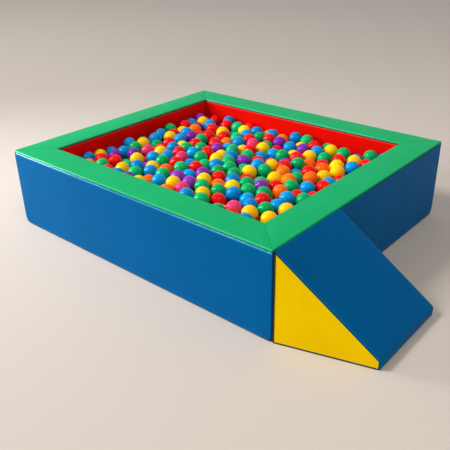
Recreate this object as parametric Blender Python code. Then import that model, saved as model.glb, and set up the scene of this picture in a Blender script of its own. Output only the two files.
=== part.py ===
# Soft ball pit: four foam walls in sewn vinyl covers, mitred at the corners and held by
# hook and loop, a wedge ramp, a floor mat and a settled fill of plastic balls.
# Metres, +Z up, origin on the floor at the middle of the four walls. -Y is the front.

import math
import random

import bmesh
import bpy
import numpy as np
from mathutils import Matrix, Vector

# Overall sizes
PIT_LENGTH = 1.600
PIT_WIDTH = 1.400
WALL_HEIGHT = 0.400
WALL_THICKNESS = 0.150
MAT_THICKNESS = 0.040
RAMP_WIDTH = 0.430
RAMP_LENGTH = 0.385
RAMP_SKEW = 0.115
RAMP_TOE_HEIGHT = 0.040
RAMP_INSET = 0.004
FILL_HEIGHT = 0.343
BALL_DIAMETER = 0.075

# Covers
FIT_GAP = 0.0003
COVER_THICKNESS = 0.0012
EDGE_RADIUS = 0.007
TOP_SEAM_DROP = 0.009
BASE_SEAM_WIDTH = 0.012
CORNER_STEPS = 3
MERGE_SHARE = 0.1

# Hook and loop
STRIP_THICKNESS = 0.0012
STRIP_WIDTH = 0.050
STRIP_HEIGHT = 0.300
RAMP_STRIP_WIDTH = 0.360
RAMP_STRIP_HEIGHT = 0.080
RAMP_STRIP_DROP = 0.050
STRIP_GAP_SHARE = 1.5

# How far a cover's end keeps from the mitre, and a core from its cover
MITRE_INSET = STRIP_THICKNESS + FIT_GAP * STRIP_GAP_SHARE
CORE_INSET = COVER_THICKNESS + FIT_GAP

# Zips
TAPE_THICKNESS = 0.0008
TAPE_WIDTH = 0.034
ZIP_OPENING = 0.016
ZIP_RECESS = 0.0065
COIL_WIDTH = 0.005
COIL_HEIGHT = 0.0012
SLIDER_WIDTH = 0.009
SLIDER_LENGTH = 0.013
SLIDER_HEIGHT = 0.0026
PULL_WIDTH = 0.006
PULL_LENGTH = 0.022
PULL_THICKNESS = 0.0012
WALL_ZIP_MARGIN = 0.200
RAMP_ZIP_MARGIN = 0.040
MAT_ZIP_MARGIN = 0.150

# Floor mat
MAT_CLEARANCE = 0.0005
MAT_EDGE_RADIUS = 0.006
MAT_SEAM_HEIGHT = 0.009

# Ball fill
FILL_CLEARANCE = 0.0005
PACKING_SHARE = 0.55
FILL_SEED = 11
SPAN_DIGITS = 6
BALL_SIDES = 6
CAP_RING_SHARES = (0, 0.34, 0.67, 1)
BED_CUT_SHARE = 0.40
DEEPEST_CAP_SHARE = 0.80
COVERED_REACH_SHARE = 0.62
COVERED_RISE_SHARE = 0.30
LOOSE_SPACING_SHARE = 3.2
LOOSE_MARGIN_SHARE = 1.5
LOOSE_BALL_SEGMENTS = 14
LOOSE_BALL_RINGS = 8

# How the fill settles, in shares of a ball diameter
RADIUS_SHARE = 0.5
SHEET_SHARE = 0.70
SHEET_DROP_SHARE = 0.30
POUR_PITCH_SHARE = 1.08
POUR_ROW_SHARE = 0.87
POUR_SCATTER_SHARE = 0.25
FALL_SHARE = 0.03
SINK_SHARE = 0.004
SHAKE_SHARE = 0.07
CALM_SHARE = 0.3
PAIR_REACH_SHARE = 1.35
SETTLE_FLOOR_SHARE = 1e-9
FALL_STEPS = 120
REST_STEPS = 240
PAIR_STEPS = 6
PARTING_TURNS = 3

CUT_OVERRUN = 0.004

PART_NAME = "ball_pit"
CUTTER_NAME = "ball_pit_cutters"

COLOURS = {
    "blue_vinyl": (0.010, 0.130, 0.330, 1.0),
    "green_vinyl": (0.020, 0.420, 0.140, 1.0),
    "red_vinyl": (0.700, 0.010, 0.012, 1.0),
    "yellow_vinyl": (0.870, 0.520, 0.005, 1.0),
    "black_base_cloth": (0.030, 0.030, 0.034, 1.0),
    "foam": (0.780, 0.740, 0.560, 1.0),
    "hook_strip": (0.020, 0.020, 0.022, 1.0),
    "loop_strip": (0.035, 0.035, 0.040, 1.0),
    "zip_tape": (0.020, 0.022, 0.028, 1.0),
    "zip_slider": (0.060, 0.060, 0.065, 1.0),
    "ball_mix": (0.420, 0.180, 0.100, 1.0),
    "ball_red": (0.750, 0.012, 0.010, 1.0),
    "ball_blue": (0.012, 0.170, 0.680, 1.0),
    "ball_green": (0.010, 0.420, 0.060, 1.0),
    "ball_yellow": (0.900, 0.620, 0.005, 1.0),
    "ball_purple": (0.160, 0.030, 0.400, 1.0),
    "ball_orange": (0.900, 0.190, 0.010, 1.0),
    "ball_pink": (0.760, 0.060, 0.330, 1.0),
}

ROUGHNESS = {"foam": 0.95, "black_base_cloth": 0.9, "hook_strip": 0.9, "loop_strip": 0.95, "zip_tape": 0.85}
VINYL_ROUGHNESS = 0.42
BALL_ROUGHNESS = 0.12
SLIDER_METAL_SHARE = 0.8
BEVEL_SHARE = 0.5
POCKET_GAP_SHARE = 2
LOOSE_BALLS = ("red", "blue", "green", "yellow", "purple", "orange", "pink")


def clear_scene():
    for item in list(bpy.data.objects):
        bpy.data.objects.remove(item, do_unlink=True)
    for collection in list(bpy.data.collections):
        bpy.data.collections.remove(collection)


def new_collection(name):
    collection = bpy.data.collections.new(name)
    bpy.context.scene.collection.children.link(collection)
    return collection


def material(slot, name):
    finish = bpy.data.materials.new(name)
    finish.use_nodes = True
    shader = finish.node_tree.nodes["Principled BSDF"]
    shader.inputs["Base Color"].default_value = COLOURS[slot]
    fallback = BALL_ROUGHNESS if slot.startswith("ball") else VINYL_ROUGHNESS
    shader.inputs["Roughness"].default_value = ROUGHNESS.get(slot, fallback)
    shader.inputs["Metallic"].default_value = SLIDER_METAL_SHARE if slot == "zip_slider" else 0
    finish.diffuse_color = COLOURS[slot]
    return finish


def add_part(name, mesh, slot, placement):
    mesh.name = name
    mesh.materials.clear()
    mesh.materials.append(material(slot, name))
    part = bpy.data.objects.new(name, mesh)
    part.matrix_world = placement
    bpy.data.collections[PART_NAME].objects.link(part)
    return part


def add_cutter(name, mesh, placement):
    mesh.name = name
    cutter = bpy.data.objects.new(name, mesh)
    cutter.matrix_world = placement
    cutter.hide_render = True
    cutter.display_type = "WIRE"
    bpy.data.collections[CUTTER_NAME].objects.link(cutter)
    return cutter


def boolean(part, operand, operation):
    step = part.modifiers.new(operand.name, "BOOLEAN")
    step.operation = operation
    step.solver = "EXACT"
    step.object = operand


# Sections. A section is a list of corners, counter-clockwise, and a side is the straight
# stretch from one corner to the next. An inset moves every side inward by the same amount.

def side_directions(section, side):
    here = Vector(section[side % len(section)])
    there = Vector(section[(side + 1) % len(section)])
    run = (there - here).normalized()
    inward = Vector((-run.y, run.x))
    return here, there, run, inward


def on_side(section, side, distance, inset):
    here, _, run, inward = side_directions(section, side)
    return here + run * distance + inward * inset


def round_corner(section, side, radius, inset):
    # The arc at the end of a side, where it meets the next one.
    _, corner, run_in, inward_in = side_directions(section, side)
    _, _, run_out, inward_out = side_directions(section, side + 1)
    bisector = (inward_in + inward_out).normalized()
    centre = corner + bisector * (radius / bisector.dot(inward_in))
    start = math.atan2(-inward_in.y, -inward_in.x)
    turn = math.atan2(run_in.cross(run_out), run_in.dot(run_out))
    points = []
    for step in range(CORNER_STEPS + 1):
        angle = start + turn * step / CORNER_STEPS
        points.append(centre + Vector((math.cos(angle), math.sin(angle))) * (radius - inset))
    return points


def skin_path(section, radius, first, last, inset):
    points = [on_side(section, first[0], first[1], inset)]
    for side in range(first[0], last[0]):
        points += round_corner(section, side, radius, inset)
    points.append(on_side(section, last[0], last[1], inset))
    return points


def skin_outline(section, radius, first, last):
    outside = skin_path(section, radius, first, last, 0)
    inside = skin_path(section, radius, first, last, COVER_THICKNESS)
    return outside + inside[::-1]


def full_outline(section, radius, inset):
    points = []
    for side in range(len(section)):
        points += round_corner(section, side, radius, inset)
    return points


def rectangle(left, right, bottom, top):
    return [Vector((left, bottom)), Vector((right, bottom)), Vector((right, top)), Vector((left, top))]


# Prisms. The outline lies in the depth and height plane, and the prism runs along X between
# two ends, each given as a function of the depth.

def face_outward(work):
    bmesh.ops.recalc_face_normals(work, faces=work.faces)
    if work.calc_volume(signed=True) < 0:
        bmesh.ops.reverse_faces(work, faces=work.faces)


def prism_mesh(outline, low_end, high_end):
    curve = bpy.data.curves.new("outline", "CURVE")
    curve.dimensions = "2D"
    curve.fill_mode = "BOTH"
    curve.extrude = WALL_THICKNESS
    line = curve.splines.new("POLY")
    line.points.add(len(outline) - 1)
    line.use_cyclic_u = True
    for point, place in zip(line.points, outline):
        point.co = (place.x, place.y, 0, 1)
    holder = bpy.data.objects.new("outline", curve)
    bpy.context.scene.collection.objects.link(holder)
    evaluated = holder.evaluated_get(bpy.context.evaluated_depsgraph_get())
    mesh = bpy.data.meshes.new_from_object(evaluated)
    bpy.data.objects.remove(holder)
    bpy.data.curves.remove(curve)
    work = bmesh.new()
    work.from_mesh(mesh)
    bmesh.ops.remove_doubles(work, verts=work.verts, dist=FIT_GAP * MERGE_SHARE)
    for vertex in work.verts:
        depth, height, along = vertex.co
        end = high_end if along > 0 else low_end
        vertex.co = (end(depth), depth, height)
    face_outward(work)
    work.to_mesh(mesh)
    work.free()
    return mesh


def square_end(place):
    return lambda depth: place


def mitred_end(side, length, inset):
    slant = inset * math.sqrt(2)
    return lambda depth: side * (length / 2 - depth - slant)


def skewed_end(place):
    # The ramp runs out aslant, so its ends step aside with the depth.
    return lambda depth: place - RAMP_SKEW * depth / RAMP_LENGTH


# Zips. A folded tape carries the coil inside the groove of the cover, clear of the floor.

def tape_outline():
    half = TAPE_WIDTH / 2
    web = ZIP_OPENING / 2
    base = COVER_THICKNESS + FIT_GAP
    crown = base + ZIP_RECESS
    wall = TAPE_THICKNESS
    coil = COIL_WIDTH / 2
    points = [
        (-half, base), (-web, base), (-web, crown - wall), (-coil, crown - wall),
        (-coil, crown - wall - COIL_HEIGHT), (coil, crown - wall - COIL_HEIGHT), (coil, crown - wall),
        (web, crown - wall), (web, base), (half, base), (half, base + wall), (web + wall, base + wall),
        (web + wall, crown), (-web - wall, crown), (-web - wall, base + wall), (-half, base + wall),
    ]
    return [Vector(point) for point in points]


def shifted(outline, sideways):
    return [point + Vector((sideways, 0)) for point in outline]


def add_zip(prefix, middle, length, placement):
    tape = prism_mesh(shifted(tape_outline(), middle), square_end(-length / 2), square_end(length / 2))
    add_part(prefix + "_zip", tape, "zip_tape", placement)
    coil_bottom = COVER_THICKNESS + FIT_GAP + ZIP_RECESS - TAPE_THICKNESS - COIL_HEIGHT
    top = coil_bottom - FIT_GAP
    half = SLIDER_WIDTH / 2
    start = -length / 2 + SLIDER_LENGTH
    body = prism_mesh(
        shifted(rectangle(-half, half, top - SLIDER_HEIGHT, top), middle),
        square_end(start), square_end(start + SLIDER_LENGTH),
    )
    pull_half = PULL_WIDTH / 2
    pull_top = top - SLIDER_HEIGHT + PULL_THICKNESS
    pull = prism_mesh(
        shifted(rectangle(-pull_half, pull_half, pull_top - PULL_THICKNESS, pull_top), middle),
        square_end(start + SLIDER_LENGTH / 2), square_end(start + SLIDER_LENGTH + PULL_LENGTH),
    )
    slider = add_part(prefix + "_zip_slider", body, "zip_slider", placement)
    pull_tab = add_cutter(prefix + "_pull_tab", pull, placement)
    boolean(slider, pull_tab, "UNION")


def cut_zip_opening(part, prefix, middle, length, placement):
    half = ZIP_OPENING / 2
    slot = prism_mesh(
        shifted(rectangle(-half, half, -CUT_OVERRUN, COVER_THICKNESS + FIT_GAP / 2), middle),
        square_end(-length / 2), square_end(length / 2),
    )
    boolean(part, add_cutter(prefix + "_zip_opening", slot, placement), "DIFFERENCE")


def cut_zip_groove(part, prefix, middle, length, placement):
    # The foam gives way to the tape's flanges and to its raised crown.
    flange = TAPE_WIDTH / 2 + FIT_GAP
    web = ZIP_OPENING / 2 + TAPE_THICKNESS + FIT_GAP
    base = COVER_THICKNESS + FIT_GAP
    low = base - CUT_OVERRUN
    shoulder = base + TAPE_THICKNESS + FIT_GAP
    crown = base + ZIP_RECESS + FIT_GAP
    outline = [
        Vector((-flange, low)), Vector((flange, low)), Vector((flange, shoulder)), Vector((web, shoulder)),
        Vector((web, crown)), Vector((-web, crown)), Vector((-web, shoulder)), Vector((-flange, shoulder)),
    ]
    reach = length / 2 + FIT_GAP
    groove = prism_mesh(shifted(outline, middle), square_end(-reach), square_end(reach))
    boolean(part, add_cutter(prefix + "_zip_groove", groove, placement), "DIFFERENCE")


# Walls. Each lies along X with its outer face at depth zero, then turns into its place.

def wall_placement(name):
    turns = {"front": 0, "right": 1, "back": 2, "left": 3}
    reach = PIT_WIDTH / 2 if name in ("front", "back") else PIT_LENGTH / 2
    turn = Matrix.Rotation(turns[name] * math.pi / 2, 4, "Z")
    return turn @ Matrix.Translation((0, -reach, 0))


def wall_length(name):
    return PIT_LENGTH if name in ("front", "back") else PIT_WIDTH


def add_wall(name):
    placement = wall_placement(name)
    length = wall_length(name)
    prefix = name + "_wall"
    section = rectangle(0, WALL_THICKNESS, 0, WALL_HEIGHT)
    ends = (mitred_end(-1, length, MITRE_INSET), mitred_end(1, length, MITRE_INSET))
    seam = TOP_SEAM_DROP
    half_gap = FIT_GAP / 2
    base_start = BASE_SEAM_WIDTH
    base_end = WALL_THICKNESS - BASE_SEAM_WIDTH
    panels = {
        "inner_panel": ("red_vinyl", (0, base_end + FIT_GAP), (1, WALL_HEIGHT - seam - half_gap)),
        "top_panel": ("green_vinyl", (1, WALL_HEIGHT - seam + half_gap), (3, seam - half_gap)),
        "outer_panel": ("blue_vinyl", (3, seam + half_gap), (4, base_start - FIT_GAP)),
    }
    for panel, (slot, first, last) in panels.items():
        outline = skin_outline(section, EDGE_RADIUS, first, last)
        add_part(prefix + "_" + panel, prism_mesh(outline, *ends), slot, placement)

    core_end = MITRE_INSET + CORE_INSET
    core_outline = full_outline(section, EDGE_RADIUS, CORE_INSET)
    core_mesh = prism_mesh(core_outline, mitred_end(-1, length, core_end), mitred_end(1, length, core_end))
    core = add_part(prefix + "_core", core_mesh, "foam", placement)

    strip = prism_mesh(rectangle(base_start, base_end, 0, COVER_THICKNESS), *ends)
    base = add_part(prefix + "_base_panel", strip, "black_base_cloth", placement)
    end_outline = [Vector((base_start, 0)), Vector((base_end, 0))]
    end_outline += skin_path(section, EDGE_RADIUS, (0, base_end), (4, base_start), CORE_INSET)
    plate_back = MITRE_INSET + COVER_THICKNESS
    for side, label in ((-1, "left"), (1, "right")):
        outer = mitred_end(side, length, MITRE_INSET)
        inner = mitred_end(side, length, plate_back)
        low, high = (outer, inner) if side < 0 else (inner, outer)
        plate = add_cutter(prefix + "_end_" + label, prism_mesh(end_outline, low, high), placement)
        boolean(base, plate, "UNION")

    middle = WALL_THICKNESS / 2
    zip_length = length - 2 * (WALL_THICKNESS + WALL_ZIP_MARGIN)
    cut_zip_opening(base, prefix, middle, zip_length, placement)
    cut_zip_groove(core, prefix, middle, zip_length, placement)
    add_zip(prefix, middle, zip_length, placement)


def add_corner_strips(front_or_back, side):
    # Hook tape on the end of the long wall, loop tape on the end of the short one.
    placement = wall_placement(front_or_back)
    length = wall_length(front_or_back)
    toward = side if front_or_back == "front" else -side
    middle = WALL_THICKNESS / 2
    half = STRIP_WIDTH / 2 / math.sqrt(2)
    low = (WALL_HEIGHT - STRIP_HEIGHT) / 2
    outline = rectangle(middle - half, middle + half, low, low + STRIP_HEIGHT)
    hook_near = FIT_GAP / 2
    hook_far = hook_near + STRIP_THICKNESS
    corner = front_or_back + "_" + ("right" if side > 0 else "left")
    layers = {"hook": (hook_near, hook_far), "loop": (-hook_far, -hook_near)}
    for kind, (near, far) in layers.items():
        ends = [mitred_end(toward, length, far), mitred_end(toward, length, near)]
        if toward < 0:
            ends.reverse()
        mesh = prism_mesh(outline, *ends)
        add_part(corner + "_" + kind + "_strip", mesh, kind + "_strip", placement)


# Ramp. It lies with its back on the right wall and its near side by the front face, and its
# toe is shifted along the wall.

def ramp_placement():
    back = PIT_LENGTH / 2 + 2 * STRIP_THICKNESS + 3 * FIT_GAP
    start = -PIT_WIDTH / 2 + RAMP_INSET
    swap = Matrix(((0, 1, 0, back), (-1, 0, 0, start + RAMP_WIDTH / 2), (0, 0, 1, 0), (0, 0, 0, 1)))
    return swap


def add_ramp():
    placement = ramp_placement()
    half = RAMP_WIDTH / 2
    section = [
        Vector((0, 0)), Vector((RAMP_LENGTH, 0)),
        Vector((RAMP_LENGTH, RAMP_TOE_HEIGHT)), Vector((0, WALL_HEIGHT)),
    ]
    base_end = RAMP_LENGTH - BASE_SEAM_WIDTH
    ends = (skewed_end(-half), skewed_end(half))
    slope = skin_outline(section, EDGE_RADIUS, (0, base_end + FIT_GAP), (3, TOP_SEAM_DROP - FIT_GAP))
    add_part("ramp_slope_panel", prism_mesh(slope, *ends), "blue_vinyl", placement)
    backing = skin_outline(section, EDGE_RADIUS, (3, TOP_SEAM_DROP), (4, base_end))
    base = add_part("ramp_base_panel", prism_mesh(backing, *ends), "black_base_cloth", placement)

    inner = full_outline(section, EDGE_RADIUS, CORE_INSET)
    for label, low in (("far", -half), ("near", half - COVER_THICKNESS)):
        plate = prism_mesh(inner, skewed_end(low), skewed_end(low + COVER_THICKNESS))
        add_part("ramp_" + label + "_side_panel", plate, "yellow_vinyl", placement)
    core_half = half - CORE_INSET
    core_mesh = prism_mesh(inner, skewed_end(-core_half), skewed_end(core_half))
    core = add_part("ramp_core", core_mesh, "foam", placement)

    middle = RAMP_LENGTH / 2
    zip_length = RAMP_WIDTH - 2 * RAMP_ZIP_MARGIN
    zip_placement = placement @ Matrix.Translation((skewed_end(0)(middle), 0, 0))
    cut_zip_opening(base, "ramp", middle, zip_length, zip_placement)
    cut_zip_groove(core, "ramp", middle, zip_length, zip_placement)
    add_zip("ramp", middle, zip_length, zip_placement)

    top = WALL_HEIGHT - RAMP_STRIP_DROP
    reach = RAMP_STRIP_WIDTH / 2
    hook_back = -FIT_GAP - STRIP_THICKNESS
    loop_back = hook_back - FIT_GAP - STRIP_THICKNESS
    for node, slot, back in (
        ("ramp_hook_strip", "hook_strip", hook_back),
        ("ramp_wall_loop_strip", "loop_strip", loop_back),
    ):
        outline = rectangle(back, back + STRIP_THICKNESS, top - RAMP_STRIP_HEIGHT, top)
        add_part(node, prism_mesh(outline, square_end(-reach), square_end(reach)), slot, placement)


# Floor mat. It lies inside the walls, and its sides are upright.

def inside_length():
    return PIT_LENGTH - 2 * WALL_THICKNESS


def inside_width():
    return PIT_WIDTH - 2 * WALL_THICKNESS


def box_mesh(size_x, size_y, low, high, radius, bevel_steps):
    work = bmesh.new()
    bmesh.ops.create_cube(work, size=1)
    stretch = Matrix.Diagonal((size_x, size_y, high - low, 1))
    place = Matrix.Translation((0, 0, (low + high) / 2)) @ stretch
    bmesh.ops.transform(work, matrix=place, verts=work.verts)
    if radius:
        bmesh.ops.bevel(
            work, geom=list(work.edges), offset=radius, segments=bevel_steps,
            profile=BEVEL_SHARE, affect="EDGES",
        )
    mesh = bpy.data.meshes.new("box")
    work.to_mesh(mesh)
    work.free()
    return mesh


def add_mat():
    identity = Matrix.Identity(4)
    size_x = inside_length() - 2 * MAT_CLEARANCE
    size_y = inside_width() - 2 * MAT_CLEARANCE
    inner_x = size_x - 2 * COVER_THICKNESS
    inner_y = size_y - 2 * COVER_THICKNESS
    inner_radius = MAT_EDGE_RADIUS - COVER_THICKNESS
    cover = add_part(
        "mat_top_cover",
        box_mesh(size_x, size_y, 0, MAT_THICKNESS, MAT_EDGE_RADIUS, CORNER_STEPS),
        "blue_vinyl", identity,
    )
    hollow = box_mesh(
        inner_x, inner_y, -MAT_THICKNESS, MAT_THICKNESS - COVER_THICKNESS, inner_radius, CORNER_STEPS
    )
    boolean(cover, add_cutter("mat_hollow", hollow, identity), "DIFFERENCE")
    floor_cut = box_mesh(
        size_x + CUT_OVERRUN, size_y + CUT_OVERRUN, -CUT_OVERRUN, MAT_SEAM_HEIGHT, 0, 0
    )
    boolean(cover, add_cutter("mat_seam_cut", floor_cut, identity), "DIFFERENCE")

    core = add_part(
        "mat_core",
        box_mesh(
            inner_x - 2 * FIT_GAP, inner_y - 2 * FIT_GAP,
            CORE_INSET, MAT_THICKNESS - CORE_INSET, inner_radius - FIT_GAP, CORNER_STEPS,
        ),
        "foam", identity,
    )
    pan = add_part(
        "mat_base_cover",
        box_mesh(size_x, size_y, 0, MAT_THICKNESS, MAT_EDGE_RADIUS, CORNER_STEPS),
        "black_base_cloth", identity,
    )
    pan_hollow = box_mesh(
        inner_x, inner_y, COVER_THICKNESS, MAT_THICKNESS + CUT_OVERRUN, inner_radius, CORNER_STEPS
    )
    boolean(pan, add_cutter("mat_pan_hollow", pan_hollow, identity), "DIFFERENCE")
    rim_cut = box_mesh(
        size_x + CUT_OVERRUN, size_y + CUT_OVERRUN,
        MAT_SEAM_HEIGHT - FIT_GAP, MAT_THICKNESS + CUT_OVERRUN, 0, 0,
    )
    boolean(pan, add_cutter("mat_rim_cut", rim_cut, identity), "DIFFERENCE")

    zip_length = inside_length() - 2 * MAT_ZIP_MARGIN
    middle = -inside_width() / 2 + MAT_ZIP_MARGIN
    cut_zip_opening(pan, "mat", middle, zip_length, identity)
    cut_zip_groove(core, "mat", middle, zip_length, identity)
    add_zip("mat", middle, zip_length, identity)


# Ball fill. The balls settle in units of one ball diameter, between the inner faces, on the
# mat. Only plain sums, products and square roots are used, so every run agrees exactly.

def near_pairs(centres, reach):
    across = centres[:, None, 0] - centres[None, :, 0]
    along = centres[:, None, 1] - centres[None, :, 1]
    up = centres[:, None, 2] - centres[None, :, 2]
    close = across * across + along * along + up * up < reach * reach
    return np.nonzero(np.triu(close, 1))


def poured_balls(span_x, span_y, count, dice):
    # Loose sheets of balls, one above the other, each ball thrown a little off its place.
    places = []
    layer = 0
    while len(places) < count:
        sheet = []
        row = 0
        y = RADIUS_SHARE * (1 + layer % 2 / 2)
        while y < span_y - RADIUS_SHARE:
            x = RADIUS_SHARE * (1 + (row + layer) % 2 * POUR_PITCH_SHARE)
            while x < span_x - RADIUS_SHARE:
                throw = [dice.uniform(-POUR_SCATTER_SHARE, POUR_SCATTER_SHARE) for _ in range(3)]
                level = RADIUS_SHARE + layer * POUR_PITCH_SHARE
                sheet.append((x + throw[0], y + throw[1], level + throw[2]))
                x += POUR_PITCH_SHARE
            y += POUR_PITCH_SHARE * POUR_ROW_SHARE
            row += 1
        spare = max(len(places) + len(sheet) - count, 0)
        dice.shuffle(sheet)
        places += sheet[spare:]
        layer += 1
    return np.array(places)


def part_the_touching(centres, pairs, lowest, highest):
    first, second = pairs
    gap = centres[first] - centres[second]
    reach = gap[:, 0] * gap[:, 0] + gap[:, 1] * gap[:, 1] + gap[:, 2] * gap[:, 2]
    reach = np.sqrt(reach) + SETTLE_FLOOR_SHARE
    move = gap * (np.maximum(1 - reach, 0) * RADIUS_SHARE / reach)[:, None]
    np.add.at(centres, first, move)
    np.add.at(centres, second, -move)
    centres[:] = np.clip(centres, lowest, highest)


def settle(spans, count, seed):
    # The balls sink and are shaken while they part, then only part, until none overlap. An
    # upper sheet of them keeps near the top, as raked balls lie.
    dice = random.Random(seed)
    raked = int(SHEET_SHARE * spans[0] * spans[1])
    under = poured_balls(spans[0], spans[1], count - raked, dice)
    sheet = poured_balls(spans[0], spans[1], raked, dice)
    centres = np.concatenate([under, sheet])
    lowest = np.full((count, 3), RADIUS_SHARE)
    highest = lowest * 0 + np.array(spans) - RADIUS_SHARE
    drops = np.array([SHEET_DROP_SHARE * dice.random() for _ in range(raked)])
    centres[count - raked:, 2] = highest[0, 2]
    lowest[count - raked:, 2] = highest[0, 2] - drops
    for step in range(FALL_STEPS + REST_STEPS):
        if step % PAIR_STEPS == 0:
            pairs = near_pairs(centres, PAIR_REACH_SHARE)
        if step < FALL_STEPS:
            left = 1 - step / FALL_STEPS
            centres[:, 2] -= FALL_SHARE * left + SINK_SHARE
            if left > CALM_SHARE:
                for axis in (0, 1):
                    shake = [dice.uniform(-SHAKE_SHARE, SHAKE_SHARE) * left for _ in range(count)]
                    centres[:, axis] += np.array(shake)
        for _ in range(PARTING_TURNS):
            part_the_touching(centres, pairs, lowest, highest)
    return centres


def ball_centres():
    lengths = (
        inside_length() - 2 * FILL_CLEARANCE,
        inside_width() - 2 * FILL_CLEARANCE,
        FILL_HEIGHT - MAT_THICKNESS - FIT_GAP,
    )
    spans = [round(length / BALL_DIAMETER, SPAN_DIGITS) for length in lengths]
    ball_share = math.pi / 6
    count = int(PACKING_SHARE * spans[0] * spans[1] * spans[2] / ball_share)
    centres = settle(spans, count, FILL_SEED)
    corner = Vector((-lengths[0] / 2, -lengths[1] / 2, MAT_THICKNESS + FIT_GAP))
    return [corner + Vector(place) * BALL_DIAMETER for place in centres]


def top_layer(centres):
    # Balls that nothing lies over, highest first.
    shown = []
    cover_reach = COVERED_REACH_SHARE * BALL_DIAMETER
    cover_rise = COVERED_RISE_SHARE * BALL_DIAMETER
    for centre in centres:
        over = [
            other for other in centres
            if other.z > centre.z + cover_rise and (other.xy - centre.xy).length < cover_reach
        ]
        if not over:
            shown.append(centre)
    return sorted(shown, key=lambda centre: -centre.z)


def loose_centres(shown):
    # The highest balls of the top layer that stand well apart from each other and the walls.
    margin = BALL_DIAMETER * LOOSE_MARGIN_SHARE
    chosen = []
    for centre in shown:
        inside_x = abs(centre.x) < inside_length() / 2 - margin
        inside_y = abs(centre.y) < inside_width() / 2 - margin
        apart = all((centre - other).length > LOOSE_SPACING_SHARE * BALL_DIAMETER for other in chosen)
        proud = all(
            other.z <= centre.z or (other.xy - centre.xy).length > BALL_DIAMETER for other in shown
        )
        if inside_x and inside_y and apart and proud:
            chosen.append(centre)
    return chosen[:len(LOOSE_BALLS)]


def cap_geometry(work, centre, plane, radius, turn):
    # A turned cap: an arc from the apex to just under the plane, spun about the ball's axis.
    foot = (plane - CUT_OVERRUN - centre.z) / radius
    sweep = math.acos(max(-1, min(1, foot)))
    profile = []
    for share in CAP_RING_SHARES:
        offset = Vector((math.sin(sweep * share), 0, math.cos(sweep * share))) * radius
        profile.append(work.verts.new(centre + offset))
    edges = [work.edges.new(pair) for pair in zip(profile, profile[1:])]
    bmesh.ops.rotate(work, cent=centre, matrix=Matrix.Rotation(turn, 3, "Z"), verts=profile)
    bmesh.ops.spin(
        work, geom=profile + edges, cent=centre, axis=(0, 0, 1),
        angle=math.tau, steps=BALL_SIDES, use_merge=True,
    )


def add_ball_bed(centres, shown, loose):
    identity = Matrix.Identity(4)
    radius = BALL_DIAMETER / 2
    ceiling = max(centre.z for centre in shown)
    plane = ceiling - BED_CUT_SHARE * BALL_DIAMETER
    slab = box_mesh(
        inside_length() - 2 * FILL_CLEARANCE, inside_width() - 2 * FILL_CLEARANCE,
        MAT_THICKNESS + FIT_GAP, plane, 0, 0,
    )
    bed = add_part("ball_bed", slab, "ball_mix", identity)
    dice = random.Random(FILL_SEED + 1)
    work = bmesh.new()
    for centre in shown:
        turn = dice.uniform(0, math.tau / BALL_SIDES)
        if centre in loose or plane - centre.z > DEEPEST_CAP_SHARE * radius:
            continue
        cap_geometry(work, centre, plane, radius - FIT_GAP, turn)
    bmesh.ops.remove_doubles(work, verts=work.verts, dist=FIT_GAP * MERGE_SHARE)
    bmesh.ops.holes_fill(work, edges=work.edges, sides=BALL_SIDES)
    face_outward(work)
    caps = bpy.data.meshes.new("ball_caps")
    work.to_mesh(caps)
    work.free()
    boolean(bed, add_cutter("ball_caps", caps, identity), "UNION")

    pockets = bpy.data.meshes.new("ball_pockets")
    work = bmesh.new()
    for centre in loose:
        bmesh.ops.create_uvsphere(
            work, u_segments=LOOSE_BALL_SEGMENTS, v_segments=LOOSE_BALL_RINGS,
            radius=radius + FIT_GAP * POCKET_GAP_SHARE, matrix=Matrix.Translation(centre),
        )
    work.to_mesh(pockets)
    work.free()
    boolean(bed, add_cutter("ball_pockets", pockets, identity), "DIFFERENCE")


def add_loose_balls(loose):
    for colour, centre in zip(LOOSE_BALLS, loose):
        work = bmesh.new()
        bmesh.ops.create_uvsphere(
            work, u_segments=LOOSE_BALL_SEGMENTS, v_segments=LOOSE_BALL_RINGS, radius=BALL_DIAMETER / 2,
        )
        mesh = bpy.data.meshes.new("ball")
        work.to_mesh(mesh)
        work.free()
        mesh.shade_smooth()
        add_part("loose_ball_" + colour, mesh, "ball_" + colour, Matrix.Translation(centre))


def build():
    clear_scene()
    new_collection(PART_NAME)
    new_collection(CUTTER_NAME)
    for name in ("front", "right", "back", "left"):
        add_wall(name)
    for front_or_back in ("front", "back"):
        for side in (-1, 1):
            add_corner_strips(front_or_back, side)
    add_ramp()
    add_mat()
    centres = ball_centres()
    shown = top_layer(centres)
    loose = loose_centres(shown)
    add_ball_bed(centres, shown, loose)
    add_loose_balls(loose)
    print("balls settled", len(centres), "in the top layer", len(shown), "loose", len(loose))


build()
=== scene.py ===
# Soft play ball pit, the looks: sewn vinyl covers over four mitred foam walls, a wedge ramp,
# a floor mat and a settled fill of plastic balls. Metres, +Z up, front towards -Y.

import math
import random

import bmesh
import bpy
import numpy as np
from mathutils import Matrix, Vector


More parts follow.
